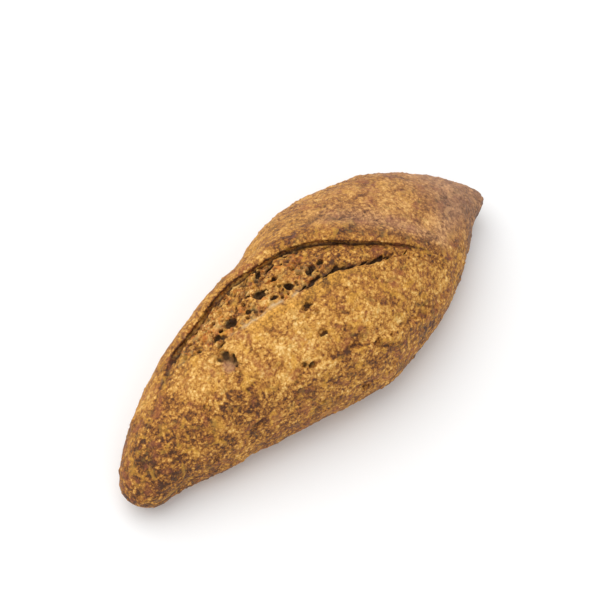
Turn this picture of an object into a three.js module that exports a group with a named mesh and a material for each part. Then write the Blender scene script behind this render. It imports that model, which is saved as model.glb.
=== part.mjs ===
// A sourdough batard: one solid loaf, slashed once along its top and baked open.
// Millimetres. +X runs along the loaf from its blunt end to its slim end, +Y is its back,
// +Z is up, and the flat base lies on z = 0 under the origin.

import * as THREE from 'three';

const { clamp, degToRad, lerp, radToDeg, smoothstep } = THREE.MathUtils;

// Length: each end rounds off over its own distance.
const BLUNT_END = -139;
const SLIM_END = 139;
const BLUNT_ROUNDING = 26;
const SLIM_ROUNDING = 24;

// Outline tables: pairs of x and the value there, joined by a smooth curve.
const FRONT_WIDTH = profile([
  [-139, 21], [-115, 17], [-90, 26.5], [-68, 33.5], [-42, 42.5], [-12, 52.5], [12, 59], [39, 56],
  [64, 51], [85, 43], [105, 31], [122, 18.5], [139, 14],
]);
const BACK_WIDTH = profile([
  [-139, 15], [-120, 21], [-100, 31], [-70, 41], [-50, 44], [-30, 48], [-20, 48.5], [-5, 49],
  [12, 54], [27, 57.5], [46, 56], [64, 50.8], [80, 47.2], [92, 43.3], [108, 34], [120, 23],
  [131, 15], [139, 3],
]);
const HEIGHT = profile([
  [-139, 30], [-110, 42], [-80, 54], [-50, 63], [-20, 69], [10, 71], [35, 69], [60, 64],
  [90, 53], [115, 40.5], [139, 24],
]);
const WIDEST_LEVEL = profile([
  [-139, 15], [-100, 18], [-50, 22], [0, 24], [60, 23], [100, 20], [139, 18],
]);
const BASE_LEVEL = profile([[-139, 5], [-120, 1], [-104, 0], [96, 0], [115, 2], [139, 8]]);
const SPINE_SHIFT = profile([[-139, 0], [60, 0], [100, -2], [125, -7], [139, -12]]);

// Fullness of a section: a plain ellipse has powers of 1 and a base spread of 1.
const SIDE_POWER = 0.92;
const CROWN_POWER = 0.95;
const BELLY_POWER = 0.8;
const BASE_SPREAD = 1.2;

// The slash: its lip (the ear) runs along EAR_ANGLE and curls over the torn crumb. Angles go
// round a section in degrees: 0 at the back, 90 at the top, 180 at the front, 270 underneath.
const EAR_ANGLE = profile([
  [-97, 58], [-68, 44], [-25, 47], [-10, 53], [3, 61], [17, 71], [35, 86], [56, 105],
  [68, 121], [82, 150],
]);
const EAR_HEIGHT = profile([
  [-100, 0.5], [-85, 1.6], [-60, 2.4], [-20, 2.7], [20, 2.8], [55, 2.3], [80, 0.5],
]);
const EAR_OVERHANG = profile([[-100, 1], [-60, 2], [-20, 2.5], [20, 3], [55, 2.5], [80, 1]]);
const TEAR_WIDTH = profile([
  [-100, 4], [-72, 14], [-55, 27], [-40, 35], [-25, 40], [-10, 40], [0, 37], [12, 30.5],
  [22, 25.5], [34, 21], [48, 14.5], [58, 10], [80, 4],
]);
const TEAR_DEPTH = profile([[-100, 1], [-60, 2.4], [-20, 2.7], [20, 2.5], [55, 2], [80, 1]]);
const CREVICE_DEPTH = profile([
  [-100, 0.3], [-60, 0.5], [-15, 0.8], [0, 1.6], [20, 2], [50, 1.8], [80, 0.5],
]);
const SLASH_START = -100;
const SLASH_FULL_FROM = -66;
const SLASH_FULL_TO = 54;
const SLASH_STOP = 80;
const EAR_ROOT = -22;
const MOUTH_RUN = 4;
const MOUTH_SHARE = 0.3;
const BLOOM_RISE = 0.8;
const BLOOM_CREST = 4;
const BLOOM_FOOT = 12;
const CLOSED_RUN = 64;

// The lower edge of the opened surface, where the first crust stands a little proud.
const CRUST_ANGLE = profile([
  [-97, 60], [-81, 98], [-65, 115], [-39, 133], [-13, 137], [16, 144], [54, 161], [68, 165],
  [84, 154],
]);
const CRUST_STEP = 1.6;
const CRUST_STEP_RUN = 5;
const CRUST_STEP_HOLD = 4;
const CRUST_STEP_FADE = 14;

// Facets of the solid.
const STATIONS = 72;
const BACK_STEPS = 9;
const FOLD_STEPS = 34;
const FRONT_STEPS = 14;

// How far to each side, in degrees, the surface is sampled for its normal.
const NORMAL_NUDGE = 1.5;

// The least radius, before the ends are rounded, that distances round a section are measured with.
const LEAST_RADIUS = 26;

const crust = new THREE.MeshStandardMaterial({ color: 0xaa7a45, roughness: 0.75, metalness: 0 });

const loaf = new THREE.Mesh(loafGeometry(), crust);
loaf.name = 'sourdough_loaf';

const group = new THREE.Group();
group.add(loaf);

// A curve through [x, value] points that never overshoots them (monotone cubic).
function profile(points) {
  const spans = points.slice(1).map(([x, value], i) => {
    const width = x - points[i][0];
    return { width, slope: (value - points[i][1]) / width };
  });
  const slopes = points.map((point, i) => pointSlope(spans[i - 1], spans[i]));
  return (x) => {
    const after = points.findIndex(([px]) => px > x);
    const i = after < 0 ? spans.length - 1 : Math.max(after - 1, 0);
    const { width } = spans[i];
    const t = clamp((x - points[i][0]) / width, 0, 1);
    const rise = t * t * (3 - 2 * t);
    const leave = t * (1 - t) * (1 - t) * width * slopes[i];
    const arrive = t * t * (t - 1) * width * slopes[i + 1];
    return points[i][1] * (1 - rise) + points[i + 1][1] * rise + leave + arrive;
  };
}

function pointSlope(before, after) {
  if (!before || !after) return (before ?? after).slope;
  if (before.slope * after.slope <= 0) return 0;
  const beforeShare = 2 * after.width + before.width;
  const afterShare = after.width + 2 * before.width;
  return (beforeShare + afterShare) / (beforeShare / before.slope + afterShare / after.slope);
}

// 1 along the loaf, falling to 0 as a quarter circle at each end.
function endRounding(x) {
  const blunt = Math.min((x - BLUNT_END) / BLUNT_ROUNDING, 1);
  const slim = Math.min((SLIM_END - x) / SLIM_ROUNDING, 1);
  return Math.sqrt(1 - (1 - blunt) ** 2) * Math.sqrt(1 - (1 - slim) ** 2);
}

// 1 where the slash is open, fading to 0 at both of its ends.
function slashOpening(x) {
  return smoothstep(x, SLASH_START, SLASH_FULL_FROM) * (1 - smoothstep(x, SLASH_FULL_TO, SLASH_STOP));
}

// The unslashed section at x, as a point (y, z) at an angle round it.
function domePoint(x, angle) {
  const size = endRounding(x);
  const across = Math.cos(degToRad(angle));
  const up = Math.sin(degToRad(angle));
  const halfWidth = size * (across > 0 ? BACK_WIDTH(x) : FRONT_WIDTH(x));
  const y = SPINE_SHIFT(x) + halfWidth * Math.sign(across) * Math.abs(across) ** SIDE_POWER;
  const level = WIDEST_LEVEL(x);
  if (up >= 0) return new THREE.Vector2(y, level + size * (HEIGHT(x) - level) * up ** CROWN_POWER);
  const drop = size * (level - BASE_LEVEL(x));
  return new THREE.Vector2(y, level - drop * Math.min(BASE_SPREAD * Math.abs(up) ** BELLY_POWER, 1));
}

// The same point moved out from the surface along its normal, and kept above the base.
function raisedPoint(x, angle, height) {
  const before = domePoint(x, angle - NORMAL_NUDGE);
  const along = domePoint(x, angle + NORMAL_NUDGE).sub(before).normalize();
  const point = domePoint(x, angle).add(new THREE.Vector2(along.y, -along.x).multiplyScalar(height));
  return new THREE.Vector3(x, point.x, Math.max(point.y, BASE_LEVEL(x)));
}

// The slash's profile at x, from the root of the ear, over its curled lip, down into the torn
// crumb and out at the foot of the bloom: distance from the ear line, and height off the dome.
function foldPoints(x) {
  const lip = EAR_OVERHANG(x);
  const rise = EAR_HEIGHT(x);
  const depth = TEAR_DEPTH(x);
  const width = TEAR_WIDTH(x);
  const crevice = CREVICE_DEPTH(x);
  const mouth = Math.min(MOUTH_RUN, MOUTH_SHARE * (width - lip));
  const ear = [
    [EAR_ROOT, 0], [-14, 0.5 * rise], [-8, 0.9 * rise], [-3, rise], [lip - 1.5, 0.85 * rise],
    [lip, 0.45 * rise], [lip - 0.8, 0], [lip - 1.8, -0.6 * depth],
  ];
  const tear = [
    [lip - 0.6, -depth], [lip + 0.3 * mouth, -0.7 * depth], [lip + mouth, -0.3 * depth],
    [0.5 * width, 0],
    [0.8 * width, -0.2 * depth], [width - 1, -crevice], [width + 1, -0.3 * crevice],
  ];
  const bloom = [[width + BLOOM_CREST, BLOOM_RISE], [width + BLOOM_FOOT, 0]];
  const shape = [...ear, ...tear, ...bloom];
  const opening = slashOpening(x);
  const size = endRounding(x);
  return shape.map(([distance, height], i) => {
    const closed = size * (EAR_ROOT + (CLOSED_RUN * i) / (shape.length - 1));
    return new THREE.Vector2(lerp(closed, distance, opening), height * opening);
  });
}

// One closed ring of points round the loaf at x.
function sectionRing(x) {
  const size = endRounding(x);
  const radius = size * Math.max(LEAST_RADIUS, 0.5 * (FRONT_WIDTH(x) + HEIGHT(x)));
  const degreesPerMm = radToDeg(1 / radius);
  const fold = new THREE.SplineCurve(foldPoints(x)).getPoints(FOLD_STEPS);
  const angles = fold.map((point) => EAR_ANGLE(x) + point.x * degreesPerMm);
  const ring = [];
  for (let i = 0; i < BACK_STEPS; i++) {
    ring.push(raisedPoint(x, lerp(-90, angles[0], i / BACK_STEPS), 0));
  }
  fold.forEach((point, i) => ring.push(raisedPoint(x, angles[i], point.y)));
  for (let i = 1; i < FRONT_STEPS; i++) {
    const angle = lerp(angles[FOLD_STEPS], 270, i / FRONT_STEPS);
    ring.push(raisedPoint(x, angle, crustStep(x, (angle - CRUST_ANGLE(x)) / degreesPerMm)));
  }
  return ring;
}

// How far the first crust stands proud, at a distance below the edge of the bloom.
function crustStep(x, distance) {
  const edge = smoothstep(distance, -CRUST_STEP_RUN / 2, CRUST_STEP_RUN / 2);
  const fade = Math.exp(-Math.max(distance - CRUST_STEP_HOLD, 0) / CRUST_STEP_FADE);
  return slashOpening(x) * CRUST_STEP * edge * fade;
}

function endPoint(x) {
  return new THREE.Vector3(x, SPINE_SHIFT(x), WIDEST_LEVEL(x));
}

// Rings skinned with quads, and closed by a fan to a point at each end.
function loafGeometry() {
  const points = [endPoint(BLUNT_END), endPoint(SLIM_END)];
  const count = BACK_STEPS + FOLD_STEPS + FRONT_STEPS;
  for (let i = 1; i < STATIONS; i++) {
    const along = (1 - Math.cos((Math.PI * i) / STATIONS)) / 2;
    points.push(...sectionRing(lerp(BLUNT_END, SLIM_END, along)));
  }
  const at = (station, i) => 2 + (station - 1) * count + (i % count);
  const faces = [];
  for (let i = 0; i < count; i++) {
    faces.push(0, at(1, i + 1), at(1, i));
    faces.push(1, at(STATIONS - 1, i), at(STATIONS - 1, i + 1));
    for (let station = 1; station < STATIONS - 1; station++) {
      faces.push(at(station, i), at(station, i + 1), at(station + 1, i + 1));
      faces.push(at(station, i), at(station + 1, i + 1), at(station + 1, i));
    }
  }
  const geometry = new THREE.BufferGeometry().setFromPoints(points);
  geometry.setIndex(faces);
  geometry.computeVertexNormals();
  geometry.computeBoundingBox();
  const centre = geometry.boundingBox.getCenter(new THREE.Vector3());
  return geometry.translate(-centre.x, -centre.y, -geometry.boundingBox.min.z);
}

export default group;
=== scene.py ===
import math

import bpy
import numpy as np
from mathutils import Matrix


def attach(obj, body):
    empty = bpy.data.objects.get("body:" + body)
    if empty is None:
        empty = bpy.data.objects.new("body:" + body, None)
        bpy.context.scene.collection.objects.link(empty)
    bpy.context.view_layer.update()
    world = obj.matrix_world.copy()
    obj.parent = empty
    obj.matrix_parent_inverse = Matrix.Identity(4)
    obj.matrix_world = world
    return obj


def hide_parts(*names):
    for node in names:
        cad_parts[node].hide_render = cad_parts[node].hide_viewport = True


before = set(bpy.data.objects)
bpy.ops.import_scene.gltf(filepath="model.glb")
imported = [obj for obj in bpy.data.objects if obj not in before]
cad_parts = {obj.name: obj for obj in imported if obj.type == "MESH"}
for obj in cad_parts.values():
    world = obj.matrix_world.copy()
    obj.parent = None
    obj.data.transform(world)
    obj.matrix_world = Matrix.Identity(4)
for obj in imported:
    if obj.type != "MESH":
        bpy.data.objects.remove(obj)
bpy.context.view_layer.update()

import openvdb as vdb
from mathutils import Vector

# The loaf is shaped in millimetres, in the same shape frame as the CAD loft: +X runs from the
# blunt end to the slim end, +Y is the back and +Z is up. It goes onto the frame, in metres,
# when its mesh is made.
MM = 0.001
LOAF = "sourdough_loaf"

BLUNT_END = -139
SLIM_END = 139
BLUNT_ROUNDING = 26
SLIM_ROUNDING = 24

# Sections along the loaf, for the skin and for finding its box, and points round each section.
SKIN_SECTIONS = 420
BOX_SECTIONS = 160
BACK_STEPS = 60
FOLD_STEPS = 180
FRONT_STEPS = 110

# The volume that is sculpted: its cell in mm, the cells kept on each side of the skin, and how
# near the skin it is raised and lowered, in mm.
VOXEL = 0.6
BAND_VOXELS = 14
RELIEF_REACH = 3.0

# How uneven a hollow's wall is, the size of its unevenness and how softly its rim blends, in mm.
HOLE_RAGGEDNESS = 0.42
HOLE_GRAIN = 1.7
RIM_BLEND = 0.5

# The most triangles that the finished piece keeps.
TRIANGLE_LIMIT = 190_000

# The loft and its inverse never divide by an end smaller than this share of the full section.
LEAST_END_SIZE = 0.05


def profile(*points):
    """A smooth curve through (x, value) points that never overshoots them (monotone cubic)."""
    xs, values = np.array(points, float).T
    width = np.diff(xs)
    slope = np.diff(values) / width
    before = 2 * width[1:] + width[:-1]
    after = width[1:] + 2 * width[:-1]
    same_way = slope[:-1] * slope[1:] > 0
    safe = np.where(slope == 0, 1, slope)
    inner = np.where(same_way, (before + after) / (before / safe[:-1] + after / safe[1:]), 0)
    tangent = np.concatenate([slope[:1], inner, slope[-1:]])

    def value(x):
        x = np.clip(x, xs[0], xs[-1])
        i = np.clip(np.searchsorted(xs, x, side="right") - 1, 0, len(width) - 1)
        t = (x - xs[i]) / width[i]
        rise = t * t * (3 - 2 * t)
        leave = t * (1 - t) ** 2 * width[i] * tangent[i]
        arrive = t * t * (t - 1) * width[i] * tangent[i + 1]
        return values[i] * (1 - rise) + values[i + 1] * rise + leave + arrive

    return value


# Outlines along the loaf: how wide a section is to each side of the spine, how high it is, and
# the levels of its widest line and its base.
FRONT_WIDTH = profile(
    (-139, 21), (-115, 17), (-90, 26.5), (-68, 33.5), (-42, 42.5), (-12, 52.5), (12, 59),
    (39, 56), (64, 51), (85, 43), (105, 31), (122, 18.5), (139, 14),
)
BACK_WIDTH = profile(
    (-139, 15), (-120, 21), (-100, 31), (-70, 41), (-50, 44), (-30, 48), (-20, 48.5), (-5, 49),
    (12, 54), (27, 57.5), (46, 56), (64, 50.8), (80, 47.2), (92, 43.3), (108, 34), (120, 23),
    (131, 15), (139, 3),
)
HEIGHT = profile(
    (-139, 30), (-110, 42), (-80, 54), (-50, 63), (-20, 69), (10, 71), (35, 69), (60, 64),
    (90, 53), (115, 40.5), (139, 24),
)
WIDEST_LEVEL = profile((-139, 15), (-100, 18), (-50, 22), (0, 24), (60, 23), (100, 20), (139, 18))
BASE_LEVEL = profile((-139, 5), (-120, 1), (-104, 0), (96, 0), (115, 2), (139, 8))
SPINE_SHIFT = profile((-139, 0), (60, 0), (100, -2), (125, -7), (139, -12))

# A section's fullness at its sides, crown and belly (1 is an ellipse, less is squarer), and how
# far its belly would fall past the flat base.
SIDE_POWER = 0.92
CROWN_POWER = 0.95
BELLY_POWER = 0.8
BASE_SPREAD = 1.2

# The least radius that distances round a section are measured with, and the angle to each side
# over which its normal is found.
LEAST_RADIUS = 26
NORMAL_NUDGE = 1.5

# The slash. Angles go round a section in degrees: 0 back, 90 top, 180 front, 270 underneath.
EAR_ANGLE = profile(
    (-97, 58), (-68, 44), (-25, 47), (-10, 53), (3, 61), (17, 71), (35, 86), (56, 105),
    (68, 121), (82, 150),
)
EAR_HEIGHT = profile(
    (-100, 0.5), (-85, 1.6), (-60, 2.4), (-20, 2.7), (20, 2.8), (55, 2.3), (80, 0.5),
)
EAR_OVERHANG = profile((-100, 1), (-60, 2), (-20, 2.5), (20, 3), (55, 2.5), (80, 1))
TEAR_WIDTH = profile(
    (-100, 4), (-72, 14), (-55, 27), (-40, 35), (-25, 40), (-10, 40), (0, 37), (12, 30.5),
    (22, 25.5), (34, 21), (48, 14.5), (58, 10), (80, 4),
)
TEAR_DEPTH = profile((-100, 1), (-60, 2.4), (-20, 2.7), (20, 2.5), (55, 2), (80, 1))
CREVICE_DEPTH = profile(
    (-100, 0.3), (-60, 0.5), (-15, 0.8), (0, 1.6), (20, 2), (50, 1.8), (80, 0.5),
)
SLASH_BEGINS, SLASH_OPEN = -100, -66
SLASH_NARROWS, SLASH_ENDS = 54, 80

# Distances from the ear line: where the ear starts to rise, and the mouth under its lip, which
# takes no more than a share of the tear.
EAR_ROOT = -22
MOUTH_RUN = 4
MOUTH_SHARE = 0.3

# The bloom's swell just past the tear, and the length that a closed slash is laid out on.
BLOOM_RISE = 0.8
BLOOM_CREST = 4
BLOOM_FOOT = 12
CLOSED_RUN = 64

# The first crust stands proud below the bloom, and falls back to the dome further down.
CRUST_ANGLE = profile(
    (-97, 60), (-81, 98), (-65, 115), (-39, 133), (-13, 137), (16, 144), (54, 161), (68, 165),
    (84, 154),
)
CRUST_STEP = 1.6
STEP_HALF_BLEND = 2.5
STEP_TOP = 4
STEP_FADE = 14

# Holes in the torn crumb and bubbles burst in the skin: x, distance below the ear line, half
# length, half width and depth.
TEAR_HOLES = (
    (-3, 10, 3.6, 1.5, 3.0), (-9, 8, 2.6, 1.4, 3.0), (-8, 23, 2.0, 2.3, 4.0),
    (-6, 33, 2.5, 2.4, 4.0), (-19.5, 28, 4.2, 3.2, 3.0), (-24, 23, 1.8, 1.5, 3.0),
    (-41, 27, 3.6, 2.8, 3.0), (-35, 10, 1.3, 1.2, 3.0), (-52, 13, 1.2, 1.3, 3.0),
    (-46, 16, 1.2, 1.6, 3.0), (-55, 6, 1.0, 1.0, 2.5), (2, 12, 1.2, 0.9, 2.5),
    (8, 18, 1.5, 0.9, 2.5), (4, 20, 0.9, 0.9, 2.0), (-29, 25, 1.4, 1.2, 2.5),
    (-31, 32, 1.8, 1.6, 3.0), (-26, 38, 1.4, 1.1, 2.0), (9, 26, 3.4, 2.2, 3.2),
    (26, 7, 2.4, 0.7, 1.5), (-14, 15, 1.4, 1.1, 2.0), (-16, 36, 1.6, 1.2, 2.5),
    (-47, 24, 1.5, 1.2, 2.5), (16, 20.5, 2.6, 1.6, 2.6), (-62, 10, 1.2, 1.0, 2.0),
)
WIDE_BUBBLE = (-58.5, 38.5, 5.8, 7.4, 2.8)
BURST_BUBBLES = (
    (-51, 25, 2.4, 2.0, 2.8), (-54, 30, 3.0, 2.1, 2.6), WIDE_BUBBLE, (-8, 50, 3.4, 1.9, 3.3),
    (-7, 57, 1.6, 1.2, 1.4), (-12.5, 72, 2.8, 2.2, 1.2), (-30.5, 82.5, 2.1, 1.8, 2.7),
    (7, 89, 1.9, 1.5, 1.8), (10, 86, 1.3, 1.0, 1.4), (-6, 131, 3.0, 2.0, 1.8),
    (-31, 118, 1.4, 1.2, 1.0), (-81, 36, 2.6, 1.2, 1.2), (17, 84, 1.2, 0.9, 1.0),
    (55, 92, 1.6, 1.1, 1.2), (27, -26, 1.2, 0.8, 0.6), (-27.4, 86.5, 1.9, 1.6, 2.5),
)
SMALL_PORES = 190
SMALL_PITS = 60

# The first wall pattern of each group of hollows.
TEAR_SEED = 40
BUBBLE_SEED = 80
PORE_SEED = 120
PIT_SEED = 330
CREVICE_SEED = 400

# Shallow creases where the bloom stretched: x, distance, half length, half width and depth.
CREASES = (
    (-81, 42, 8, 1.6, 1.2), (-45, 52, 2.0, 7, 0.9), (-41, 70, 6, 1.6, 0.9),
    (-20, 61, 5, 1.2, 0.7), (5, 62, 5, 1.0, 0.7), (-60, 62, 5, 1.4, 0.8), (-42, 94, 6, 1.8, 1.0),
    (20, 52, 6, 1.2, 0.7), (48, 60, 7, 1.6, 1.0), (-90, 52, 3, 5, 0.8), (34, 98, 8, 2.0, 1.0),
    (-68, 88, 8, 2.0, 1.0), (-12, 70, 3.2, 2.4, 1.5), (-12, 58, 2.6, 1.6, 1.2),
    (12, 92, 7, 1.6, 1.6), (-2, 87, 5, 1.5, 1.3), (42, 66, 5, 2.4, 1.2), (-82, 38, 6, 1.8, 1.5),
    (-60, 51, 5, 1.6, 1.1), (-38, 87, 5, 1.8, 1.3), (-6, 126, 9, 2.2, 1.2),
    (-66, 86, 5, 1.6, 1.2),
)


# --- Form ---------------------------------------------------------------------------------


def smoothstep(x, start, end):
    t = np.clip((x - start) / (end - start), 0, 1)
    return t * t * (3 - 2 * t)


def end_rounding(x):
    """1 along the loaf, falling to 0 as a quarter circle at each end."""
    blunt = np.clip((x - BLUNT_END) / BLUNT_ROUNDING, 0, 1)
    slim = np.clip((SLIM_END - x) / SLIM_ROUNDING, 0, 1)
    return np.sqrt(1 - (1 - blunt) ** 2) * np.sqrt(1 - (1 - slim) ** 2)


def slash_opening(x):
    """1 where the slash is open, fading to 0 at both of its ends."""
    begun = smoothstep(x, SLASH_BEGINS, SLASH_OPEN)
    return begun * (1 - smoothstep(x, SLASH_NARROWS, SLASH_ENDS))


def divisible_size(x):
    """end_rounding, kept far enough from 0 to divide by."""
    return np.maximum(end_rounding(x), LEAST_END_SIZE)


def degrees_per_mm(x):
    """How far round the section at x one millimetre of skin reaches."""
    radius = divisible_size(x) * np.maximum(LEAST_RADIUS, 0.5 * (FRONT_WIDTH(x) + HEIGHT(x)))
    return np.degrees(1 / radius)


def dome_point(x, angle):
    """The unslashed section at x: y and z at an angle round it."""
    size = end_rounding(x)
    across = np.cos(np.radians(angle))
    up = np.sin(np.radians(angle))
    half_width = size * np.where(across > 0, BACK_WIDTH(x), FRONT_WIDTH(x))
    y = SPINE_SHIFT(x) + half_width * np.sign(across) * np.abs(across) ** SIDE_POWER
    level = WIDEST_LEVEL(x)
    rise = size * (HEIGHT(x) - level) * np.abs(up) ** CROWN_POWER
    drop = size * (level - BASE_LEVEL(x))
    fall = drop * np.minimum(BASE_SPREAD * np.abs(up) ** BELLY_POWER, 1)
    return y, level + np.where(up >= 0, rise, -fall)


def raised_point(x, angle, height):
    """The same point moved out along the section's normal, and kept above the base."""
    y0, z0 = dome_point(x, angle - NORMAL_NUDGE)
    y1, z1 = dome_point(x, angle + NORMAL_NUDGE)
    run = np.hypot(y1 - y0, z1 - z0) + 1e-9
    y, z = dome_point(x, angle)
    y = y + height * (z1 - z0) / run
    z = np.maximum(z - height * (y1 - y0) / run, BASE_LEVEL(x))
    return np.stack(np.broadcast_arrays(x, y, z), -1)


def fold_points(x):
    """The slash's profile: distance from the ear line and height off the dome, for each x."""
    lip, rise = EAR_OVERHANG(x), EAR_HEIGHT(x)
    depth, width, crevice = TEAR_DEPTH(x), TEAR_WIDTH(x), CREVICE_DEPTH(x)
    mouth = np.minimum(MOUTH_RUN, MOUTH_SHARE * (width - lip))
    one, zero = np.ones_like(x), np.zeros_like(x)
    ear = [
        (EAR_ROOT * one, zero), (-14 * one, 0.5 * rise), (-8 * one, 0.9 * rise),
        (-3 * one, rise), (lip - 1.5, 0.85 * rise), (lip, 0.45 * rise),
        (lip - 0.8, zero), (lip - 1.8, -0.6 * depth),
    ]
    tear = [
        (lip - 0.6, -depth), (lip + 0.3 * mouth, -0.7 * depth), (lip + mouth, -0.3 * depth),
        (0.5 * width, zero), (0.8 * width, -0.2 * depth), (width - 1, -crevice),
        (width + 1, -0.3 * crevice),
    ]
    bloom = [(width + BLOOM_CREST, BLOOM_RISE * one), (width + BLOOM_FOOT, zero)]
    shape = np.array([*ear, *tear, *bloom])
    distance, height = shape.transpose(1, 2, 0)
    closed = end_rounding(x)[:, None] * (EAR_ROOT + np.linspace(0, CLOSED_RUN, shape.shape[0]))
    opening = slash_opening(x)[:, None]
    return np.stack([closed + (distance - closed) * opening, height * opening], -1)


def spline(points, steps):
    """A Catmull-Rom curve through each row of points, at steps + 1 places."""
    last = points.shape[1] - 1
    t = np.linspace(0, last, steps + 1)
    i = np.minimum(t.astype(int), last - 1)
    f = (t - i)[:, None]
    a, b, c, d = (points[:, np.clip(i + k, 0, last)] for k in (-1, 0, 1, 2))
    square = (2 * a - 5 * b + 4 * c - d) * f**2
    cube = (3 * b - a - 3 * c + d) * f**3
    return 0.5 * (2 * b + (c - a) * f + square + cube)


def crust_step(x, distance):
    """How far the first crust stands proud, at a distance below the edge of the bloom."""
    edge = smoothstep(distance, -STEP_HALF_BLEND, STEP_HALF_BLEND)
    fade = np.exp(-np.maximum(distance - STEP_TOP, 0) / STEP_FADE)
    return slash_opening(x) * CRUST_STEP * edge * fade


def section_rings(stations):
    """One closed ring of points round the loaf at each station."""
    x = stations[:, None]
    scale = degrees_per_mm(x)
    fold = spline(fold_points(stations), FOLD_STEPS)
    fold_angle = EAR_ANGLE(x) + fold[..., 0] * scale
    back = np.linspace(0, 1, BACK_STEPS, endpoint=False)
    back_angle = -90 + (fold_angle[:, :1] + 90) * back
    front = np.linspace(0, 1, FRONT_STEPS, endpoint=False)[1:]
    front_angle = fold_angle[:, -1:] + (270 - fold_angle[:, -1:]) * front
    step = crust_step(x, (front_angle - CRUST_ANGLE(x)) / scale)
    angle = np.hstack([back_angle, fold_angle, front_angle])
    height = np.hstack([0 * back_angle, fold[..., 1], step])
    return raised_point(x, angle, height)


def loft(sections):
    """The whole skin: points, quads between the rings, and triangles closing both ends."""
    along = (1 - np.cos(np.pi * np.arange(1, sections) / sections)) / 2
    x = BLUNT_END + (SLIM_END - BLUNT_END) * along
    rings = section_rings(x)
    rows, count = rings.shape[:2]
    ends = [(e, float(SPINE_SHIFT(e)), float(WIDEST_LEVEL(e))) for e in (BLUNT_END, SLIM_END)]
    points = np.vstack([rings.reshape(-1, 3), ends])
    i, j = np.meshgrid(np.arange(rows - 1), np.arange(count), indexing="ij")
    after = (j + 1) % count
    this_ring = i * count
    next_ring = this_ring + count
    quads = np.stack([this_ring + j, this_ring + after, next_ring + after, next_ring + j], -1)
    j = np.arange(count)
    after = (j + 1) % count
    last = (rows - 1) * count
    blunt = np.stack([np.full(count, rows * count), after, j], -1)
    slim = np.stack([np.full(count, rows * count + 1), last + j, last + after], -1)
    return points, quads.reshape(-1, 4), np.vstack([blunt, slim])


def where_on_loaf(points):
    """Each point's angle round the loaf, distance below the ear line and height off the dome."""
    x, y, z = points.T
    size = divisible_size(x)
    across = y - SPINE_SHIFT(x)
    across = across / (size * np.where(across > 0, BACK_WIDTH(x), FRONT_WIDTH(x)))
    level = WIDEST_LEVEL(x)
    rise = np.maximum(z - level, 0) / (size * (HEIGHT(x) - level))
    fall = np.maximum(level - z, 0) / (size * np.maximum(level - BASE_LEVEL(x), 1))
    across = np.sign(across) * np.abs(across) ** (1 / SIDE_POWER)
    up = rise ** (1 / CROWN_POWER) - (fall / BASE_SPREAD) ** (1 / BELLY_POWER)
    angle = np.degrees(np.arctan2(up, across))
    angle = np.where(angle < -90, angle + 360, angle)
    distance = (angle - EAR_ANGLE(x)) / degrees_per_mm(x)
    height = (np.hypot(across, up) - 1) / np.radians(degrees_per_mm(x))
    return angle, distance, height


# --- Noise --------------------------------------------------------------------------------


def hashed(cell, seed):
    """A repeatable number from 0 to 1 for each whole-number cell."""
    parts = cell.astype(np.int64).astype(np.uint32)
    h = parts[..., 0] * np.uint32(374761393) + parts[..., 1] * np.uint32(668265263)
    h = h + parts[..., 2] * np.uint32(2246822519) + np.uint32((seed * 3266489917) % 2**32)
    h = (h ^ (h >> np.uint32(15))) * np.uint32(2246822519)
    h = (h ^ (h >> np.uint32(13))) * np.uint32(3266489917)
    return (h ^ (h >> np.uint32(16))).astype(np.float64) / 2**32


def noise(points, seed):
    """Smooth noise from -1 to 1 with one feature per unit."""
    cell = np.floor(points)
    t = points - cell
    t = t * t * t * (t * (6 * t - 15) + 10)
    total = 0
    for corner in np.ndindex(2, 2, 2):
        side = np.array(corner)
        weight = np.prod(np.where(side, t, 1 - t), axis=-1)
        total = total + weight * hashed(cell + side, seed)
    return 2 * total - 1


def layered(points, size, seed, layers=3):
    """Noise of a size in mm, with finer and fainter layers of itself added."""
    turn = np.array([[0.36, 0.48, -0.8], [-0.8, 0.6, 0.0], [0.48, 0.64, 0.6]])
    total, strength, place = 0, 1, points / size
    for layer in range(layers):
        total = total + strength * noise(place, seed + layer)
        strength *= 0.5
        place = 2.03 * place @ turn.T
    return total / (2 - 0.5 ** (layers - 1))


def blobs(points, size, seed):
    """Scattered round spots, one per cell: distance to the nearest centre and its own number."""
    place = points / size
    cell = np.floor(place - 0.5)
    nearest = np.full(len(points), 9.0)
    number = np.zeros(len(points))
    for step in np.ndindex(2, 2, 2):
        near = cell + np.array(step)
        centre = near + 0.15 + 0.7 * np.stack([hashed(near, seed + k) for k in range(3)], -1)
        gap = np.linalg.norm(place - centre, axis=1)
        closer = gap < nearest
        nearest = np.where(closer, gap, nearest)
        number = np.where(closer, hashed(near, seed + 3), number)
    return nearest * size, number


# --- Zones --------------------------------------------------------------------------------


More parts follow.
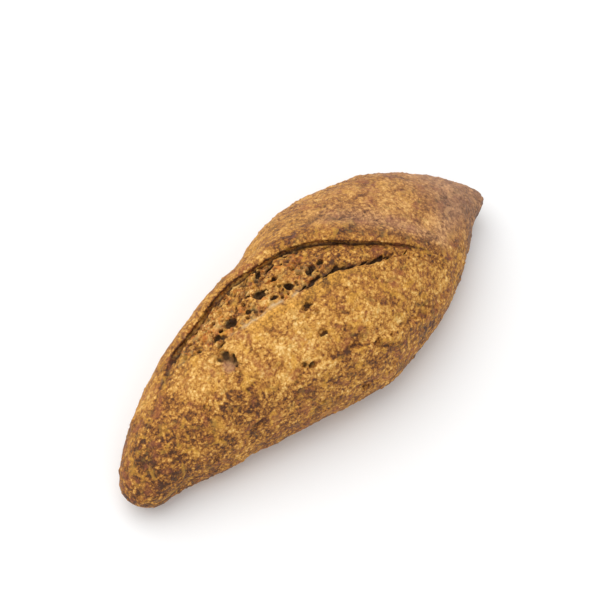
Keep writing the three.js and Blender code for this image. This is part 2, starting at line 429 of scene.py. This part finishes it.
class Zones:
    """Where each point is on the loaf, and how much it belongs to each of its parts.

    edge_distance and crust_distance run from the lower edge of the tear and from the edge of the
    first crust. The crumb is all of the torn strip, and porous is its open left part.
    """

    def __init__(self, points):
        self.x = points[:, 0]
        self.z = points[:, 2]
        self.angle, self.distance, self.height = where_on_loaf(points)
        x, distance = self.x, self.distance
        waver = 1.6 * noise(points / 7, 11)
        opening = slash_opening(x)
        lip = EAR_OVERHANG(x)
        past_lip = smoothstep(distance, lip - 0.5, lip + 0.5)
        under_lip = smoothstep(-self.height, -0.8, 0.4) * (distance > -3)
        below_lip = np.maximum(past_lip, under_lip)
        past_tear = smoothstep(distance + waver, TEAR_WIDTH(x) - 1, TEAR_WIDTH(x) + 2)
        self.edge_distance = distance + waver - TEAR_WIDTH(x)
        self.opening = opening
        self.crumb = opening * below_lip * (1 - past_tear)
        self.porous = self.crumb * (1 - smoothstep(x, 6, 26))
        self.crust_distance = (self.angle - CRUST_ANGLE(x)) / degrees_per_mm(x)
        before_crust = 1 - smoothstep(self.crust_distance + 2 * waver, -3, 4)
        bloom_run = smoothstep(x, -97, -78) * (1 - smoothstep(x, 72, 90))
        self.bloom = bloom_run * past_tear * before_crust
        self.ear = opening * (1 - below_lip) * smoothstep(distance, -22, -4)
        self.underside = (1 - smoothstep(self.z, 0.3, 5)) * (np.abs(x) < 135)
        self.textured = 1 - 0.85 * self.underside


# --- Sculpting ----------------------------------------------------------------------------


class Volume:
    """A signed distance field in mm on a grid, negative inside, that holes are cut from."""

    def __init__(self, points, quads, triangles):
        transform = vdb.createLinearTransform(voxelSize=VOXEL)
        grid = vdb.FloatGrid.createLevelSetFromPolygons(
            points.astype(np.float32), triangles=triangles.astype(np.uint32),
            quads=quads.astype(np.uint32), transform=transform, halfWidth=BAND_VOXELS,
        )
        low, high = grid.evalActiveVoxelBoundingBox()
        self.corner = tuple(int(v) for v in low)
        self.field = np.zeros(np.subtract(high, low) + 1, np.float32)
        grid.copyToArray(self.field, ijk=self.corner)

    def places(self, where):
        """Positions in mm of grid cells given as an index array or a mask's nonzero."""
        return (np.stack(where, -1) + np.array(self.corner)) * VOXEL

    def displace(self, height_of):
        """Moves the surface out by height_of(points), worked out near the surface only."""
        near = np.nonzero(np.abs(self.field) < RELIEF_REACH)
        self.field[near] -= height_of(self.places(near)).astype(np.float32)

    def level(self, point):
        """How far the surface lies outside a point that is close to it."""
        cell = np.round(point / VOXEL).astype(int) - self.corner
        return -float(self.field[tuple(cell)])

    def cut(self, centre, axes, radii, seed):
        """Cuts an uneven hollow: axes are unit rows and radii the half sizes along them."""
        reach = max(radii) * 1.6 + 1.5
        low = np.floor((np.array(centre) - reach) / VOXEL).astype(int) - self.corner
        high = np.ceil((np.array(centre) + reach) / VOXEL).astype(int) - self.corner + 1
        low = np.maximum(low, 0)
        high = np.minimum(high, self.field.shape)
        window = tuple(slice(a, b) for a, b in zip(low, high))
        spans = [np.arange(a, b) for a, b in zip(low, high)]
        where = np.meshgrid(*spans, indexing="ij")
        points = self.places(where)
        local = (points - centre) @ np.array(axes).T / radii
        grain = noise(points.reshape(-1, 3) / HOLE_GRAIN, seed).reshape(points.shape[:-1])
        rough = HOLE_RAGGEDNESS * grain
        hollow = (np.linalg.norm(local, axis=-1) - 1 + rough) * min(radii)
        self.field[window] = smooth_max(self.field[window], -hollow, RIM_BLEND)

    def mesh(self):
        """The sculpted skin, as points and quads."""
        grid = vdb.FloatGrid(float(self.field.max()))
        grid.transform = vdb.createLinearTransform(voxelSize=VOXEL)
        grid.copyFromArray(self.field, ijk=self.corner)
        points, quads = grid.convertToQuads(0.0)
        return points, quads


def smooth_max(a, b, blend):
    """The larger of a and b, rounded off where they are about the same."""
    gap = np.clip(0.5 + 0.5 * (a - b) / blend, 0, 1)
    return b + (a - b) * gap + blend * gap * (1 - gap)


def dome_frame(x, distance):
    """The dome's point at x and a distance below the ear line, and the axes there."""
    x = float(x)
    angle = EAR_ANGLE(x) + distance * degrees_per_mm(x)
    centre = raised_point(x, angle, 0)
    before = raised_point(x, angle - 1, 0)
    after = raised_point(x, angle + 1, 0)
    down = (after - before) / np.linalg.norm(after - before)
    along = np.array([1.0, 0.0, 0.0])
    return centre, along, down, np.cross(down, along)


def cut_on_surface(volume, x, distance, half_length, half_width, depth, sink, turn, seed):
    """Cuts a hollow whose middle lies a little (sink) below the surface there."""
    dome, along, down, out = dome_frame(x, distance)
    centre = dome + (volume.level(dome) - sink) * out
    c, s = math.cos(turn), math.sin(turn)
    axes = np.array([c * along + s * down, c * down - s * along, out])
    volume.cut(centre, axes, np.array([half_length, half_width, depth]), seed)


def cut_all(volume, holes, sink, rng, seed):
    """Cuts every hole in a table, each turned a little."""
    for i, (x, distance, *size) in enumerate(holes):
        cut_on_surface(volume, x, distance, *size, sink, rng.uniform(-0.4, 0.4), seed + i)


def cut_holes(volume, rng):
    """The large holes at their own places, small pores in the crumb, and pits all over."""
    cut_all(volume, TEAR_HOLES, 0.8, rng, TEAR_SEED)
    cut_all(volume, BURST_BUBBLES, 0.5, rng, BUBBLE_SEED)
    for i in range(SMALL_PORES):
        x = rng.normal(-24, 25)
        share = rng.uniform(0.1, 0.97)
        wide = rng.uniform(0.55, 1.25)
        long = wide * rng.uniform(1, 1.8)
        turn = rng.uniform(-1, 1)
        if -80 < x < 14:
            distance = share * float(TEAR_WIDTH(x))
            cut_on_surface(volume, x, distance, long, wide, 1.5, 0.3, turn, PORE_SEED + i)
    for i in range(SMALL_PITS):
        x = rng.uniform(-110, 112)
        distance = rng.uniform(-50, 130)
        wide = rng.uniform(0.6, 1.4)
        turn = rng.uniform(0, 3)
        cut_on_surface(volume, x, distance, wide * 1.3, wide, 0.9, 0, turn, PIT_SEED + i)


def cut_crevice(volume, rng):
    """The deep torn line between the crumb and the bloom, as a chain of ragged hollows."""
    for i, x in enumerate(np.arange(-20, 57, 1.2)):
        ragged = 1.3 * math.sin(0.9 * x) * math.sin(0.37 * x + 1) + rng.uniform(-0.5, 0.5)
        gape = 0.4 + 0.42 * math.sin(0.33 * x + 0.6) + rng.uniform(-0.25, 0.35)
        begun = float(smoothstep(x, -24, 8))
        narrowing = float(1 - 0.5 * smoothstep(x, 44, 57))
        widest = 1 + 0.8 * math.exp(-(((x - 13) / 9) ** 2))
        wide = max(gape, 0.2) * begun * narrowing * widest
        distance = float(TEAR_WIDTH(x)) + ragged
        turn = rng.uniform(-0.3, 0.3)
        if wide > 0.3:
            cut_on_surface(volume, x, distance, 1.9, wide, 2.4, 0.3, turn, CREVICE_SEED + i)


def added(points, share, relief):
    """A relief weighted by its share, worked out only where the share counts."""
    total = np.zeros(len(points))
    used = share > 0.01
    total[used] = share[used] * relief(points[used])
    return total


def lumps(points):
    """The uneven swell of the whole loaf."""
    return 0.9 * layered(points, 26, 1, 2) + 0.7 * layered(points, 10, 5, 2)


def blisters(points):
    """Small round blisters, most of them on the first crust."""
    gap, number = blobs(points, 2.7, 21)
    small = np.where(number > 0.35, np.exp(-((gap / 0.8) ** 2)), 0) * (0.3 + 0.35 * number)
    gap, number = blobs(points + 50, 5.5, 27)
    return small + np.where(number > 0.72, 0.7 * np.exp(-((gap / 1.6) ** 2)), 0)


def torn_skin(points):
    """The bloom's wrinkles, drawn out along the loaf."""
    stretched = points * np.array([0.5, 1, 1])
    return 0.7 * layered(stretched, 5, 31, 3) + 0.3 * layered(points, 2.2, 35, 1)


def open_crumb(points):
    """The ragged strands between the crumb's holes."""
    return layered(points, 4.4, 51, 3) + 0.5 * layered(points, 1.9, 61, 1)


def fine_relief(points, zones):
    """Height in mm of the skin's blisters, wrinkles and torn crumb."""
    crust = np.clip(1 - 0.75 * zones.bloom - zones.crumb - 0.6 * zones.ear, 0, 1)
    wrinkled = np.clip(zones.bloom + 0.35 * crust, 0, 1)
    open_share = 0.35 * zones.crumb + 0.65 * zones.porous
    relief = 0.2 * layered(points, 2.2, 9, 2)
    relief += added(points, zones.textured * crust, blisters)
    relief += added(points, zones.textured * wrinkled, torn_skin)
    return relief + added(points, zones.textured * open_share, open_crumb)


def crease_relief(points, zones):
    """Depth in mm of the creases, as soft-edged troughs that waver."""
    total = np.zeros(len(points))
    waver = 1.5 * noise(points / 5, 91)
    for x, distance, half_length, half_width, depth in CREASES:
        along = (points[:, 0] - x) / half_length
        down = (zones.distance - distance + waver) / half_width
        total += depth * np.exp(-(along**2 + down**2) * 1.5)
    return total


def surface_relief(points):
    """Height in mm of everything that stands on the loaf's smooth skin or dips into it."""
    zones = Zones(points)
    relief = added(points, zones.textured * (1 - 0.5 * zones.crumb), lumps)
    return relief - crease_relief(points, zones) + fine_relief(points, zones)


def sculpt():
    """The finished skin in mm: the smooth loaf with its relief, its crevice and its holes."""
    rng = np.random.default_rng(7)
    volume = Volume(*loft(SKIN_SECTIONS))
    volume.displace(surface_relief)
    cut_crevice(volume, rng)
    cut_holes(volume, rng)
    return volume.mesh()


# --- Mesh ---------------------------------------------------------------------------------

# The baking map: where the loaf is widest, and how much longer and taller than it the map is.
WIDEST_X = 10.0
MAP_MARGIN_ALONG = 1.02
MAP_MARGIN_ROUND = 1.12


def shape_centre():
    """What the CAD model's origin is in the shape frame: the middle of the loft's box."""
    points = loft(BOX_SECTIONS)[0]
    return np.array([*(points.min(0)[:2] + points.max(0)[:2]) / 2, points[:, 2].min()])


def new_mesh(name, points, faces):
    mesh = bpy.data.meshes.new(name)
    mesh.vertices.add(len(points))
    mesh.vertices.foreach_set("co", points.astype(np.float32).ravel())
    size = faces.shape[1]
    mesh.loops.add(faces.size)
    mesh.loops.foreach_set("vertex_index", faces.astype(np.int32).ravel())
    mesh.polygons.add(len(faces))
    mesh.polygons.foreach_set("loop_start", np.arange(len(faces), dtype=np.int32) * size)
    mesh.update(calc_edges=True)
    mesh.validate()
    return mesh


def thin_out(piece):
    """Merges the faces that carry least shape until the mesh is within its limit."""
    triangles = 2 * len(piece.data.polygons)
    modifier = piece.modifiers.new("thin", "DECIMATE")
    modifier.ratio = min(1, TRIANGLE_LIMIT / triangles)
    modifier.use_collapse_triangulate = True
    graph = bpy.context.evaluated_depsgraph_get()
    mesh = bpy.data.meshes.new_from_object(piece.evaluated_get(graph))
    piece.modifiers.clear()
    piece.data = mesh


def mesh_points(mesh):
    points = np.empty(len(mesh.vertices) * 3, np.float32)
    mesh.vertices.foreach_get("co", points)
    return points.reshape(-1, 3).astype(float)


def write_attribute(mesh, name, values):
    layer = mesh.attributes.new(name, "FLOAT", "POINT")
    layer.data.foreach_set("value", values.astype(np.float32))


def bake_and_shade_darkness(points, zones):
    """How dark each point is coloured, from 0 for pale crumb to 1 for almost burnt: how darkly it
    is baked, with painted shade under the ear's lip and in creases, and painted light on what
    stands proud.
    """
    x = zones.x
    first_crust = smoothstep(zones.crust_distance, -4, 14)
    # The bloom's left half is paler. The blunt end, the first crust and the tear's right part,
    # the ear and the dull parts are darker, and the first crust least so on the right.
    dark = 0.5 - 0.1 * zones.bloom * (1 - smoothstep(x, -40, 40))
    dark += 0.12 * (1 - smoothstep(x, -115, -75))
    dark += 0.12 * first_crust
    dark += 0.1 * zones.crumb * smoothstep(x, -8, 12)
    dark += 0.05 * zones.ear - 0.04 * smoothstep(x, 20, 60) * first_crust
    dark += 0.12 * dullness(zones)
    # Painted shade under the ear's lip is added here, with the ear's darker crest.
    dark += ear_crest(points, zones) + lip_shadow(zones)
    # Streaks along the back, and broad patches everywhere.
    streaks = layered(points * np.array([0.3, 1, 1]), 5, 85, 2)
    dark += 0.16 * streaks * (1 - smoothstep(zones.distance, -6, 2))
    dark += 0.09 * layered(points, 30, 73, 2) + 0.1 * layered(points, 9, 75, 2)
    # The broken edge of the first crust.
    crust_edge = np.exp(-((zones.crust_distance / 2.5) ** 2))
    crust_edge *= smoothstep(layered(points, 14, 77, 2), 0.0, 0.5)
    dark += 0.22 * crust_edge * zones.opening
    # Painted shade makes creases darker, and painted light makes what stands proud paler.
    dark += 0.2 * crease_relief(points, zones)
    dark -= 0.16 * fine_relief(points, zones) * (1 - 0.5 * zones.crumb)
    return np.clip(dark, 0, 1)


def ear_crest(points, zones):
    """The darker, uneven band along the top of the ear."""
    crest = np.exp(-(((zones.distance + 6) / 5) ** 2)) * smoothstep(zones.x, -20, 0)
    crest *= 1 - smoothstep(zones.x, 70, 90)
    return 0.14 * crest * (1 + layered(points, 9, 71, 2))


def lip_shadow(zones):
    """Painted shade in the gap under the ear's lip, thinner and fainter towards the slim end."""
    thin = smoothstep(zones.x, -25, 25)
    middle = EAR_OVERHANG(zones.x) + 0.4 - 0.3 * thin
    gap = np.exp(-(((zones.distance - middle) / (1.3 - 0.5 * thin)) ** 2))
    under = smoothstep(-zones.height / EAR_HEIGHT(zones.x), -0.8, -0.55)
    return (0.9 - 0.3 * thin) * gap * zones.opening**0.4 * under


def mottling(zones):
    """How strongly the crust is mottled: most in front, less behind and at the slim tip."""
    calm = smoothstep(zones.x, 85, 110)
    top = 1 - smoothstep(zones.distance, -6, 6)
    return 1.1 - 0.38 * top - 0.3 * calm - 0.12 * zones.bloom


def floury_edge(points, zones):
    """The pale line of flour and stretched dough along the lower edge of the open crumb."""
    ragged = 1.2 * layered(points, 3, 83, 2)
    line = np.exp(-(((zones.edge_distance - 0.3 + ragged) / 1.1) ** 2))
    run = smoothstep(zones.x, -52, -36) * (1 - smoothstep(zones.x, -8, 12))
    return line * run * smoothstep(layered(points, 6, 81, 2), -0.5, 0.1)


def dullness(zones):
    """Where the crust is greyer: at the slim tip, over the back beside it, and behind the ear."""
    back = smoothstep(-zones.distance, 4, 24) * smoothstep(zones.x, -10, 40)
    band = np.exp(-(((zones.distance + 20) / 12) ** 2)) * smoothstep(zones.x, 28, 50)
    return np.clip(smoothstep(zones.x, 84, 132) + 0.25 * back + 0.45 * band, 0, 1)


def wide_bubble_floor(zones):
    """The lower part of the widest burst bubble, whose floor gets a pinkish tint and less of the
    hollows' painted shade than the others'.
    """
    x, distance, half_length, half_width, _ = WIDE_BUBBLE
    below = zones.distance - distance - 0.3 * half_width
    reach = np.hypot((zones.x - x) / half_length, below / half_width)
    return 1 - smoothstep(reach, 0.25, 1.0)


def golden_parts(points, zones):
    """The bright golden strip of the bloom below the torn edge, and a patch behind the ear."""
    x = zones.x
    waver = 2.5 * layered(points, 8, 87, 2)
    strip = np.exp(-(((zones.edge_distance - 5 + waver) / 3.5) ** 2))
    strip *= smoothstep(x, -46, -34) * (1 - smoothstep(x, 22, 40))
    patch = np.exp(-(((zones.distance + 28 + 2 * waver) / 13) ** 2))
    return strip + 0.6 * patch * smoothstep(x, -5, 15) * (1 - smoothstep(x, 34, 50))


def write_looks(mesh, points, zones):
    """Everything that the material reads, as one number per vertex for each of its names."""
    sunk = surface_relief(points) - zones.height
    pan = wide_bubble_floor(zones)
    clear_of_base = smoothstep(zones.z - BASE_LEVEL(zones.x), 5, 9)
    # How far each point is sunk below the skin, which the material turns into painted shade: less
    # on the wide bubble's floor, none near the base.
    depth = np.clip(sunk - 0.5, 0, 6) * clear_of_base * (1 - 0.75 * pan)
    write_attribute(mesh, "bake_and_shade", bake_and_shade_darkness(points, zones))
    write_attribute(mesh, "mottling", mottling(zones))
    write_attribute(mesh, "crumb", zones.porous)
    write_attribute(mesh, "flour", floury_edge(points, zones))
    write_attribute(mesh, "dull", dullness(zones))
    write_attribute(mesh, "depth", depth)
    write_attribute(mesh, "pan", pan * smoothstep(sunk, 0.5, 1.5))
    write_attribute(mesh, "golden", golden_parts(points, zones))
    write_attribute(mesh, "underside", zones.underside)


def map_for_baking(mesh, points, zones):
    """A map of the loaf opened out flat: along it, and round it from a seam underneath."""
    span = MAP_MARGIN_ALONG * (SLIM_END - BLUNT_END)
    girth = MAP_MARGIN_ROUND * 360 / float(degrees_per_mm(WIDEST_X))
    u = 0.5 + points[:, 0] / span
    scale = 1 / degrees_per_mm(points[:, 0])
    v = 0.5 + (zones.angle - 90) * scale / girth
    whole_turn = 360 * scale / girth
    corner = np.empty(len(mesh.loops), np.int32)
    mesh.loops.foreach_get("vertex_index", corner)
    corner = corner.reshape(-1, 3)
    angle = zones.angle[corner]
    across_seam = angle.max(1) - angle.min(1) > 180
    v = v[corner]
    v = np.where(across_seam[:, None] & (angle < 90), v + whole_turn[corner], v)
    layer = mesh.uv_layers.new(name="OFBake")
    layer.uv.foreach_set("vector", np.stack([u[corner], v], -1).astype(np.float32).ravel())


def make_loaf(material):
    """The loaf as one piece on the frame, standing in for the plain solid."""
    points, quads = sculpt()
    piece = bpy.data.objects.new("baked_loaf", new_mesh("baked_loaf", points, quads))
    bpy.context.scene.collection.objects.link(piece)
    thin_out(piece)
    mesh = piece.data
    points = mesh_points(mesh)
    zones = Zones(points)
    write_looks(mesh, points, zones)
    map_for_baking(mesh, points, zones)
    placed = (points - shape_centre()) * MM
    placed[:, 2] = np.maximum(placed[:, 2], 0)  # nothing sinks into the floor
    mesh.vertices.foreach_set("co", placed.astype(np.float32).ravel())
    mesh.polygons.foreach_set("use_smooth", np.ones(len(mesh.polygons), bool))
    mesh.materials.append(material)
    mesh.update()
    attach(piece, "root")
    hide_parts(LOAF)


# --- Material -----------------------------------------------------------------------------


def linear(red, green, blue):
    """A display colour from 0 to 255 as the linear colour that a shader takes."""
    linear_values = []
    for value in (red / 255, green / 255, blue / 255):
        dim = value <= 0.04045
        linear_values.append(value / 12.92 if dim else ((value + 0.055) / 1.055) ** 2.4)
    return (*linear_values, 1)


class Nodes:
    """Short calls for the shader nodes that the loaf's material is made of."""

    def __init__(self, material):
        material.use_nodes = True
        self.tree = material.node_tree
        self.tree.nodes.clear()

    def add(self, kind, **settings):
        node = self.tree.nodes.new("ShaderNode" + kind)
        for name, value in settings.items():
            setattr(node, name, value)
        return node

    def put(self, value, socket):
        if isinstance(value, bpy.types.NodeSocket):
            self.tree.links.new(value, socket)
        else:
            socket.default_value = value

    def attribute(self, name):
        return self.add("Attribute", attribute_name=name).outputs["Fac"]

    def noise(self, place, size_mm, detail=2, roughness=0.5, distortion=0):
        node = self.add("TexNoise")
        self.put(place, node.inputs["Vector"])
        node.inputs["Scale"].default_value = 1 / (size_mm * MM)
        node.inputs["Detail"].default_value = detail
        node.inputs["Roughness"].default_value = roughness
        node.inputs["Distortion"].default_value = distortion
        return node.outputs["Fac"]

    def cell_distance(self, place, size_mm):
        """The distance to the middle of the nearest of many cells of about this size."""
        node = self.add("TexVoronoi")
        self.put(place, node.inputs["Vector"])
        node.inputs["Scale"].default_value = 1 / (size_mm * MM)
        return node.outputs["Distance"]

    def math(self, operation, a, b=0.0, c=None):
        node = self.add("Math", operation=operation)
        for value, socket in zip((a, b, c), node.inputs):
            if value is not None:
                self.put(value, socket)
        return node.outputs[0]

    def swing(self, value, pattern, strength):
        """value, moved up and down by a pattern that is centred on 0.5."""
        return self.math("MULTIPLY_ADD", self.math("SUBTRACT", pattern, 0.5), strength, value)

    def remap(self, value, from_low, from_high, to_low=0.0, to_high=1.0):
        node = self.add("MapRange", interpolation_type="SMOOTHSTEP")
        for v, name in zip(
            (value, from_low, from_high, to_low, to_high),
            ("Value", "From Min", "From Max", "To Min", "To Max"),
        ):
            self.put(v, node.inputs[name])
        return node.outputs["Result"]

    def mix(self, share, a, b, blend="MIX"):
        node = self.add("Mix", data_type="RGBA", blend_type=blend)
        self.put(share, node.inputs["Factor"])
        self.put(a, node.inputs[6])
        self.put(b, node.inputs[7])
        return node.outputs[2]

    def ramp(self, value, *stops):
        node = self.add("ValToRGB")
        elements = node.color_ramp.elements
        elements[0].position, elements[0].color = stops[0]
        elements[1].position, elements[1].color = stops[-1]
        for place, colour in stops[1:-1]:
            elements.new(place).color = colour
        self.put(value, node.inputs["Fac"])
        return node.outputs["Color"]


def pebbles(n, place, size_mm):
    """Packed uneven grains: 1 in the middle of a grain, 0 in the gaps between them."""
    shift = n.add("TexNoise")
    n.put(place, shift.inputs["Vector"])
    shift.inputs["Scale"].default_value = 1 / (1.5 * MM)
    centred = n.add("VectorMath", operation="SUBTRACT")
    n.put(shift.outputs["Color"], centred.inputs[0])
    centred.inputs[1].default_value = (0.5, 0.5, 0.5)
    moved = n.add("VectorMath", operation="MULTIPLY_ADD")
    n.put(centred.outputs[0], moved.inputs[0])
    moved.inputs[1].default_value = (1.6 * MM,) * 3
    n.put(place, moved.inputs[2])
    return n.remap(n.cell_distance(moved.outputs[0], size_mm), 0.75, 0.1)


class SkinPatterns:
    """The crust's patterns at their own sizes, from single specks to broad patches."""

    def __init__(self, n, place):
        self.tiny = n.noise(place, 0.8, 2, 0.6)
        self.fine = n.noise(place, 2.0, 3, 0.65, 0.3)
        self.mottle = n.noise(place, 4.5, 3, 0.6, 0.5)
        self.patches = n.noise(place, 14, 3, 0.55, 0.5)
        self.pebble = pebbles(n, place, 2.1)


def darkness_of(n, place, skin):
    """How dark the crust is: its bake and painted shade, moved up and down by the patterns, with
    dark flecks.
    """
    pattern = n.swing(n.swing(0.0, skin.tiny, 0.8), skin.fine, 1.3)
    pattern = n.swing(n.swing(pattern, skin.mottle, 0.95), skin.patches, 0.7)
    pattern = n.swing(pattern, skin.pebble, -0.3)
    darkness = n.math("MULTIPLY_ADD", pattern, n.attribute("mottling"), n.attribute("bake_and_shade"))
    flecks = n.remap(n.noise(place, 2.6, 2, 0.6, 0.5), 0.6, 0.68)
    return n.math("MULTIPLY_ADD", flecks, 0.1, darkness)


def tinted(n, colour, name, strength, tint, blend="MIX"):
    """The colour tinted where the attribute with this name is."""
    return n.mix(n.math("MULTIPLY", n.attribute(name), strength), colour, tint, blend)


def crust_colour(n, place, skin, darkness):
    """From pale to almost burnt, then patches of other hues, the crumb, painted shade in the
    holes, and the base.
    """
    colour = n.ramp(
        darkness,
        (0.0, linear(244, 204, 134)), (0.2, linear(226, 176, 96)), (0.4, linear(205, 148, 70)),
        (0.55, linear(178, 120, 50)), (0.7, linear(146, 91, 34)), (0.85, linear(110, 63, 21)),
        (1.0, linear(74, 40, 14)),
    )
    reddish = n.remap(n.noise(place, 9, 3, 0.6, 0.4), 0.52, 0.68, 0, 0.45)
    colour = n.mix(reddish, colour, linear(158, 88, 56))
    golden = n.remap(n.noise(place, 7, 3, 0.6, 0.8), 0.53, 0.68, 0, 0.45)
    colour = n.mix(golden, colour, linear(220, 162, 58))
    olive = n.remap(n.noise(place, 5.5, 3, 0.6, 0.6), 0.56, 0.7, 0, 0.35)
    colour = n.mix(olive, colour, linear(138, 110, 52))
    colour = tinted(n, colour, "golden", 0.7, linear(236, 168, 66), "COLOR")

    pale_cells = n.remap(n.noise(place, 5, 2, 0.6, 0.6), 0.52, 0.66, 0, 0.45)
    colour = tinted(n, colour, "crumb", pale_cells, linear(178, 146, 88))
    orange_cells = n.remap(n.noise(place, 4, 2, 0.6, 0.9), 0.54, 0.64, 0, 0.5)
    colour = tinted(n, colour, "crumb", orange_cells, linear(206, 118, 44))
    colour = tinted(n, colour, "dull", 0.6, linear(150, 116, 96), "COLOR")
    colour = tinted(n, colour, "flour", 0.7, linear(218, 192, 150))
    colour = tinted(n, colour, "pan", 0.6, linear(176, 132, 108))
    # Painted shade: hollows darken towards almost black with their depth below the skin.
    shade = n.remap(n.attribute("depth"), 0.9, 3.6, 0.0, 0.93)
    colour = n.mix(shade, colour, linear(50, 30, 14))

    base_colour = n.ramp(
        n.swing(n.noise(place, 9, 4, 0.6), skin.fine, 0.4),
        (0.3, linear(206, 158, 96)), (0.5, linear(170, 112, 58)), (0.7, linear(116, 70, 38)),
    )
    return n.mix(n.attribute("underside"), colour, base_colour)


def crust_bump(n, skin):
    """The finest relief, which the mesh is too coarse to hold."""
    relief = n.math("MULTIPLY", skin.fine, 0.9)
    relief = n.math("ADD", relief, n.math("MULTIPLY", skin.mottle, 0.6))
    relief = n.math("ADD", relief, n.math("MULTIPLY", skin.pebble, 0.3))
    relief = n.math("ADD", relief, n.math("MULTIPLY", skin.tiny, 0.35))
    bump = n.add("Bump")
    bump.inputs["Strength"].default_value = 1
    bump.inputs["Distance"].default_value = 1.2 * MM
    n.put(relief, bump.inputs["Height"])
    return bump.outputs["Normal"]


def crust_material():
    material = bpy.data.materials.new("baked_crust")
    n = Nodes(material)
    place = n.add("TexCoord").outputs["Object"]
    skin = SkinPatterns(n, place)
    darkness = darkness_of(n, place, skin)
    surface = n.add("BsdfPrincipled")
    n.put(crust_colour(n, place, skin, darkness), surface.inputs["Base Color"])
    n.put(n.remap(darkness, 0.2, 1.0, 0.85, 0.55), surface.inputs["Roughness"])
    n.put(crust_bump(n, skin), surface.inputs["Normal"])
    surface.inputs["Specular IOR Level"].default_value = 0.3
    output = n.add("OutputMaterial")
    n.put(surface.outputs["BSDF"], output.inputs["Surface"])
    return material


# --- Setting ------------------------------------------------------------------------------

# What the lamps are turned to, in metres.
LIGHT_TARGET = (0, 0, 0.03)

# The photo's view: degrees round from the front and up, metres away, and a lens in mm. What it
# looks at is in the shape frame, in mm.
CAMERA_AZIMUTH = -47
CAMERA_ELEVATION = 60
CAMERA_DISTANCE = 1.0
CAMERA_LENS = 107
CAMERA_TARGET = (8.4, 9.6, 30)


def make_floor():
    bpy.ops.mesh.primitive_plane_add(size=6)
    floor = bpy.context.object
    floor.name = "floor"
    material = bpy.data.materials.new("pale_floor")
    material.use_nodes = True
    shader = material.node_tree.nodes["Principled BSDF"]
    shader.inputs["Base Color"].default_value = (0.86, 0.86, 0.86, 1)
    shader.inputs["Roughness"].default_value = 0.6
    floor.data.materials.append(material)


def make_light(name, place, size, power):
    """A square lamp of a size in metres and a power in watts, turned to the loaf."""
    data = bpy.data.lights.new(name, "AREA")
    data.size = size
    data.energy = power
    light = bpy.data.objects.new(name, data)
    light.location = place
    aim = Vector(LIGHT_TARGET) - Vector(place)
    light.rotation_euler = aim.to_track_quat("-Z", "Y").to_euler()
    bpy.context.scene.collection.objects.link(light)


def light_scene():
    world = bpy.data.worlds.new("soft_room")
    world.use_nodes = True
    background = world.node_tree.nodes["Background"]
    background.inputs["Color"].default_value = (1, 1, 1, 1)
    background.inputs["Strength"].default_value = 0.78
    bpy.context.scene.world = world
    make_light("key", (-0.1, 0.6, 1.5), 2.0, 19)
    make_light("fill", (-0.6, -0.8, 0.9), 1.2, 2)


def make_camera(centre):
    """The camera looks down on the loaf from its front left, with a long lens."""
    azimuth, elevation = math.radians(CAMERA_AZIMUTH), math.radians(CAMERA_ELEVATION)
    target = Vector(CAMERA_TARGET) * MM - Vector(centre) * MM
    back = Vector((
        math.sin(azimuth) * math.cos(elevation),
        -math.cos(azimuth) * math.cos(elevation),
        math.sin(elevation),
    ))
    data = bpy.data.cameras.new("camera")
    data.lens = CAMERA_LENS
    data.clip_start = 0.05
    camera = bpy.data.objects.new("camera", data)
    camera.location = target + back * CAMERA_DISTANCE
    camera.rotation_euler = (-back).to_track_quat("-Z", "Y").to_euler()
    bpy.context.scene.collection.objects.link(camera)
    bpy.context.scene.camera = camera


bpy.context.scene.view_settings.view_transform = "Standard"
make_loaf(crust_material())
make_floor()
light_scene()
make_camera(shape_centre())
